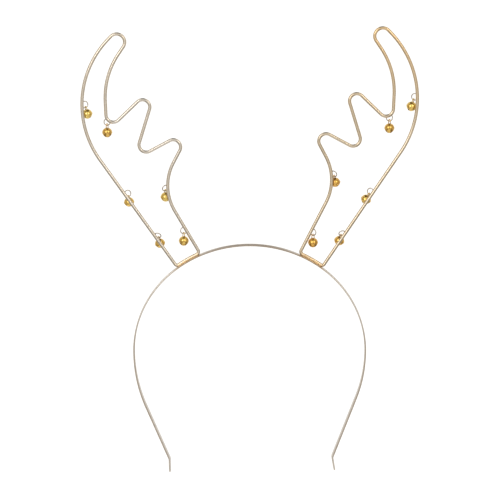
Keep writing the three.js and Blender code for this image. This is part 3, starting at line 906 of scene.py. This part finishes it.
def placed_ring(wire, along, yaw, tilt, side):
    """A ring behind the wire, pushed back by halving until it touches it as deep as the solder lets it."""
    length = run_lengths(wire, closed=True)
    i = int(np.searchsorted(length, along * length[-1])) - 1
    ahead_way = unit(np.roll(wire, -1, axis=0)[i] - wire[i])
    point = wire[i] + (along * length[-1] - length[i]) * ahead_way
    inward = np.array((-ahead_way[2], 0.0, ahead_way[0])) * (-1 if side == "left" else 1)
    across = np.array((math.cos(yaw), math.sin(yaw), 0.0))
    back = np.array((-math.sin(yaw), math.cos(yaw), 0.0))
    up = np.array((0.0, 0.0, math.cos(tilt))) - back * math.sin(tilt)
    touching = WIRE_RADIUS + RING_WIRE - SOLDER_SINK
    near, far = 0.0, touching + RING_RADIUS
    for _ in range(HALVINGS):
        middle = point + RING_INSET * inward
        middle[1] = (near + far) / 2
        rim = circle(middle, across, up, RING_RADIUS, RING_PROBES)
        spots, gaps = way_to_wire(rim, wire)
        if gaps.min() < touching:
            near = middle[1]
        else:
            far = middle[1]
    nearest = gaps.argmin()
    to_wire = spots[nearest] - rim[nearest]
    solder = rim[nearest] + to_wire * RING_WIRE / (RING_WIRE + WIRE_RADIUS)
    return {"middle": middle, "across": across, "up": up, "solder": solder, "along": ahead_way}


def hung_ring(wire, row, side, hook):
    """The ring of a row of the table, with the tilt at which its rim passes through the bell's hook."""
    along, yaw = row
    tilts = np.arange(0.0, MOST_TILT, TILT_STEP)
    rings = [placed_ring(wire, along, math.radians(yaw), tilt, side) for tilt in tilts]

    def miss(ring):
        out = hook - ring["middle"]
        axis = np.cross(ring["across"], ring["up"])
        return abs(np.linalg.norm(out) - RING_RADIUS) + abs(out @ axis)

    return min(rings, key=miss)


def torus_shell(middle, across, up, radius, thick, steps, sides):
    """A round ring: middle + (R + r cos v) (cos u across + sin u up) + r sin v axis."""
    axis = np.cross(across, up)
    u = np.linspace(0.0, FULL_TURN, steps, endpoint=False)[:, None, None]
    v = np.linspace(0.0, FULL_TURN, sides, endpoint=False)[None, :, None]
    out = np.cos(u) * across + np.sin(u) * up
    points = middle + (radius + thick * np.cos(v)) * out + thick * np.sin(v) * axis
    faces = grid_faces(steps, sides, wrap_rows=True, wrap_columns=True)[:, ::-1]
    length = np.linspace(0.0, FULL_TURN * radius, steps + 1)
    around = np.linspace(0.0, FULL_TURN * thick, sides + 1)
    lay = grid_lay(steps, sides, length, around, wrap_rows=True, wrap_columns=True)
    lay = lay.reshape(-1, 4, 2)[:, ::-1].reshape(-1, 2)
    return shell_of(points.reshape(-1, 3), faces, lay, edge=0.0, warmth=0.0)


def ball_shell(middle, axes, stretch, rough, rows=14, columns=20, **values):
    """A closed ball: middle + (1 + rough) (sx cos u cos w ax + sy sin u cos w ay + sz sin w az).

    The rough share is a function of the longitude u and the latitude w.
    """
    w = np.linspace(-math.pi / 2, math.pi / 2, rows)[:, None]
    u = np.linspace(0.0, FULL_TURN, columns, endpoint=False)[None, :]
    swell = 1 + rough(u, w)
    local = np.stack([np.cos(u) * np.cos(w), np.sin(u) * np.cos(w), np.sin(w) + 0 * u], -1)
    points = middle + (swell[..., None] * local * stretch) @ axes
    inner = points[1:-1].reshape(-1, 3)
    points = np.concatenate([points[0].mean(0)[None], inner, points[-1].mean(0)[None]])
    rings = rows - 2
    faces = [*(grid_faces(rings, columns, wrap_columns=True) + 1)]
    j = np.arange(columns)
    faces += [*np.stack([np.zeros_like(j), (j + 1) % columns + 1, j + 1], -1)]
    last = 1 + (rings - 1) * columns
    faces += [*np.stack([np.full_like(j, last + columns), last + j, last + (j + 1) % columns], -1)]
    lay = np.zeros((sum(len(face) for face in faces), 2))
    return shell_of(points, faces, lay, **values)


def make_ring(label, ring, material):
    """A jump ring and the bead of solder that holds it behind the wire."""
    loop = torus_shell(
        ring["middle"], ring["across"], ring["up"], RING_RADIUS, RING_WIRE, RING_STEPS, RING_SIDES
    )
    outward = unit(ring["middle"] - ring["solder"])
    aside = unit(np.cross(ring["along"], outward))
    axes = np.array((ring["along"], aside, np.cross(ring["along"], aside)))

    def rough(u, w):
        wide, fine = BEAD_BUMPS
        return wide * np.cos(2 * u) * np.cos(w) + fine * np.cos(3 * u + 1) * np.cos(w) ** 2

    bead = ball_shell(ring["solder"], axes, SOLDER_BEAD * BEAD_SHAPE, rough, edge=0.0, warmth=BEAD_TINT)
    add_piece(f"jump_ring_{label}", [loop, bead], material, ["frame"])


# The bells

def corners_of(node):
    """The different vertices of a solid of the frame."""
    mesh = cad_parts[node].data
    points = np.zeros(len(mesh.vertices) * 3)
    mesh.vertices.foreach_get("co", points)
    return np.unique(points.reshape(-1, 3).round(7), axis=0)


def bell_place(label):
    """Where a bell hangs, read from its solids: its middle, its axes across, through and up, and its hook.

    The middle is over the pellet. The top of the bail is what lies furthest from it: its mean shows the
    way up, and its longest spread across that shows the plane of the bail.
    """
    low, high = (np.array(corner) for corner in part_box(f"pellet_{label}"))
    middle = (low + high) / 2
    middle[2] += INNER_RADIUS - PELLET_RADIUS - PELLET_GAP
    away = corners_of(f"bell_{label}") - middle
    reach = np.linalg.norm(away, axis=1)
    bail = away[reach > HANG_LENGTH + BAIL_TOP_SHARE * BAIL_RADIUS]
    up = unit(bail.mean(0))
    flat = bail - bail.mean(0)
    flat -= np.outer(flat @ up, up)
    across = np.linalg.svd(flat)[2][0]
    across = unit(across - (across @ up) * up)
    axes = np.array((across, np.cross(up, across), up))
    return {"middle": middle, "axes": axes, "hook": middle + HANG_LENGTH * up}


def bell_rows():
    """The rows of a bell from its top to its petals' points: radius, height, half the slit's width, painted
    shade.

    The upper half is a quarter ellipse. The rolled seam is a parabola that stands proud, under a groove
    shaped as a bell curve. Below it (r / R)^p + (z / Z)^p = 1 draws the petals down to a point. A slit
    starts as half a circle and goes on with parallel sides.
    """
    upper = np.linspace(0.0, math.pi / 2, DOME_ROWS)[:-3]
    heights = [BELL_DOME * np.cos(upper)]
    half = SEAM_HEIGHT / 2
    heights.append(np.linspace(heights[0][-1] * 0.9, -1.6 * half, SEAM_ROWS))
    heights.append(np.linspace(-1.6 * half, -SLIT_TOP, 6)[1:])
    end = np.linspace(0.0, math.pi / 2, 9)[2:]
    heights.append(-SLIT_TOP - SLIT_WIDTH / 2 * (1 - np.cos(end)))
    petal_low = BELL_RADIUS + BELL_POINT
    tip = (1 - (SLIT_WIDTH / math.sqrt(2) / BELL_RADIUS) ** PETAL_POWER) ** (1 / PETAL_POWER)
    start = math.asin(-heights[-1][-1] / petal_low)
    heights.append(-petal_low * np.sin(np.linspace(start, math.asin(tip), PETAL_ROWS)[1:]))
    height = np.concatenate(heights)
    tall = np.where(height > 0, BELL_DOME, petal_low)
    power = np.where(height > 0, 2.0, PETAL_POWER)
    radius = BELL_RADIUS * np.clip(1 - np.abs(height / tall) ** power, 0.0, 1.0) ** (1 / power)
    seam = np.clip(1 - (height / half) ** 2, 0.0, 1.0)
    groove = np.exp(-(((height - 1.25 * half) / (0.25 * half)) ** 2))
    radius = radius + SEAM_PROUD * seam - SEAM_GROOVE * groove
    below = np.clip(-SLIT_TOP - height, 0.0, SLIT_WIDTH / 2)
    slit = np.sqrt(np.clip((SLIT_WIDTH / 2) ** 2 - (SLIT_WIDTH / 2 - below) ** 2, 0.0, None))
    # painted shade in the groove above the rolled seam and under the seam
    under = np.exp(-(((height + 1.2 * half) / (0.4 * half)) ** 2))
    return radius, height, slit, np.clip(GROOVE_SHADE * groove + SEAM_SHADE * under, 0.0, 1.0)


def bell_sheet():
    """The bell's outside as four quarters, each spread between its two slits by the angle asin(slit / r)."""
    radius, height, slit, recess = bell_rows()
    bound = np.arcsin(np.clip(slit / np.maximum(radius, WELD), 0.0, math.sin(math.pi / 4)))
    share = np.linspace(0.0, 1.0, PETAL_COLUMNS + 1)
    quarters, shades = [], []
    for quarter in range(4):
        turn = quarter * math.pi / 2 + bound[:, None] + (math.pi / 2 - 2 * bound[:, None]) * share
        x = radius[:, None] * np.cos(turn)
        y = radius[:, None] * np.sin(turn)
        quarters.append(np.stack([x, y, np.broadcast_to(height[:, None], x.shape)], -1))
        to_slit = np.minimum(share, 1 - share) * radius[:, None] * (math.pi / 2 - 2 * bound[:, None])
        # painted shade along the edges of the slits
        lip = np.where(slit[:, None] > 0, np.exp(-((to_slit / SLIT_SHADE_REACH) ** 2)), 0.0)
        shades.append(np.maximum(recess[:, None], SLIT_SHADE * lip))
    faces = grid_faces(len(radius), PETAL_COLUMNS + 1)[:, ::-1]
    count = len(radius) * (PETAL_COLUMNS + 1)
    points = np.concatenate([quarter.reshape(-1, 3) for quarter in quarters])
    shade = np.concatenate([shade.ravel() for shade in shades])
    faces = np.concatenate([faces + quarter * count for quarter in range(4)])
    return welded(points, faces, shade)


def welded(points, faces, values):
    """The mesh with points that share a place made one, and its quads that lose a corner made triangles."""
    grid = (points / WELD).round()
    _, first, same = np.unique(grid, axis=0, return_index=True, return_inverse=True)
    faces = same.ravel()[faces]
    differs = faces != np.roll(faces, 1, axis=1)
    left = differs.sum(1)
    quads = faces[left == 4]
    triangles = faces[left == 3][differs[left == 3]].reshape(-1, 3)
    return points[first], [*quads, *triangles], values[first]


def tube_shell(path, thick, sides, **values):
    """A round tube along a flat path (x, z) in the plane y = 0, closed by its two end faces."""
    step = np.gradient(path, axis=0)
    heading = np.arctan2(step[:, 1], step[:, 0])
    angle = np.linspace(0.0, FULL_TURN, sides, endpoint=False)
    section = thick * np.stack([np.cos(angle), np.sin(angle)], -1)
    points = carried(np.column_stack([path, heading]), section)
    rows, columns = points.shape[:2]
    return shell_of(points.reshape(-1, 3), capped_faces(rows, columns), None, **values)


def bail_path():
    """The bail: a splayed foot, a leg up, half a round over the ring, and the same down again."""
    splay = np.linspace(BAIL_SPLAY_TURN, 0.0, 7)
    low = HANG_LENGTH - BAIL_NECK - BELL_WALL * 1.75
    foot_x = BAIL_RADIUS + BAIL_SPLAY * (1 - np.cos(splay))
    foot_z = low - BAIL_SPLAY * np.sin(splay)
    leg = np.linspace(low, HANG_LENGTH, 9)[1:]
    turn = np.linspace(0.0, math.pi / 2, 11)[1:]
    x = np.concatenate([foot_x, np.full_like(leg, BAIL_RADIUS), BAIL_RADIUS * np.cos(turn)])
    z = np.concatenate([foot_z, leg, HANG_LENGTH + BAIL_RADIUS * np.sin(turn)])
    half = np.stack([x, z], -1)
    return np.concatenate([half, half[-2::-1] * (-1, 1)])


def make_bell(label, place, tone, material):
    """A bell of sheet brass with its wall, rims and rolled seam, and the bail in its top."""
    points, faces, recess = bell_sheet()
    to_frame = place["axes"]
    # painted shade on the ball round the bail's feet
    feet = np.hypot(np.abs(points[:, 0]) - BAIL_RADIUS, points[:, 1]) / BAIL_SHADE_REACH
    foot_shade = np.where(points[:, 2] > 0, BAIL_FOOT_SHADE * np.exp(-(feet**2)), 0.0)
    recess = np.maximum(recess, foot_shade)
    ball = shell_of(place["middle"] + points @ to_frame, faces, None, recess=recess, tone=tone)
    bell = add_piece(f"brass_bell_{label}", [ball], material, [f"bell_{label}"])
    wall = bell.modifiers.new("wall", "SOLIDIFY")
    wall.thickness = BELL_WALL
    wall.offset = -1.0
    wall.use_even_offset = True
    rims = bell.modifiers.new("rims", "BEVEL")
    rims.width = RIM_ROUND
    rims.segments = 2
    rims.limit_method = "ANGLE"
    rims.angle_limit = RIM_ANGLE
    rims.use_clamp_overlap = False
    bail = tube_shell(bail_path(), BAIL_WIRE, BAIL_SIDES, tone=tone)
    # painted shade low on the bail, near the ball
    low = np.clip((HANG_LENGTH - 0.4 * BAIL_NECK - bail["points"][:, 2]) / (0.6 * BAIL_NECK), 0.0, 1.0)
    bail["values"]["recess"] = BAIL_LEG_SHADE * low
    bail["points"] = place["middle"] + bail["points"] @ to_frame
    add_piece(f"bell_bail_{label}", [bail], material, [f"bell_{label}"])


def make_pellet(label, material):
    """The loose pellet: a ball with a ridge round its middle and shallow dents, a little under size."""
    low, high = (np.array(corner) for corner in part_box(f"pellet_{label}"))
    side, number = label.split("_")
    turn = PELLET_TURN * (int(number) + len(RINGS[side]) * SIDES.index(side))
    tip_up, tip_out = math.cos(PELLET_TIP), math.sin(PELLET_TIP)
    axes = np.array((
        (math.cos(turn), math.sin(turn), 0.0),
        (-math.sin(turn) * tip_up, math.cos(turn) * tip_up, tip_out),
        (math.sin(turn) * tip_out, -math.cos(turn) * tip_out, tip_up),
    ))

    def rough(u, w):
        ridge = PELLET_RIDGE * np.exp(-((w / PELLET_RIDGE_REACH) ** 2))
        dents = PELLET_DENTS * (np.cos(3 * u + 2 * w) + np.sin(5 * w + u)) * np.cos(w)
        return (ridge + dents - 2 * PELLET_RIDGE) / PELLET_RADIUS

    pellet = ball_shell((low + high) / 2, axes, PELLET_RADIUS, rough, PELLET_ROWS, PELLET_COLUMNS)
    pellet["lay"] = None
    add_piece(f"steel_pellet_{label}", [pellet], material, [f"pellet_{label}"])


def build():
    """All the pieces of the headband."""
    wire_plates = {"left": plated_metal("champagne_plate"), "right": plated_metal("warm_plate")}
    ring_plate = plated_metal("ring_plate")
    solder = plated_metal("gilded_solder_in_painted_shadow")
    brass = bell_brass()
    steel = pellet_steel()
    make_band(plated_metal("strip_plate"))
    for side in SIDES:
        route = antler_route(side)
        wire = np.stack([route[:, 0], 0 * route[:, 0], route[:, 1]], -1)
        wire = mirrored(wire, side)
        hung = []
        for number, row in enumerate(RINGS[side], 1):
            label = f"{side}_{number}"
            place = bell_place(label)
            ring = hung_ring(wire, row, side, place["hook"])
            hung.append(ring)
            make_ring(label, ring, ring_plate)
            make_bell(label, place, BELL_TONE[side][number - 1], brass)
            make_pellet(label, steel)
        make_antler(side, hung, wire_plates[side])
        make_foot_solder(side, solder)


place_camera()
light_studio()
lay_floor()
stand_cards()
build()
bpy.context.scene.view_settings.view_transform = "Standard"
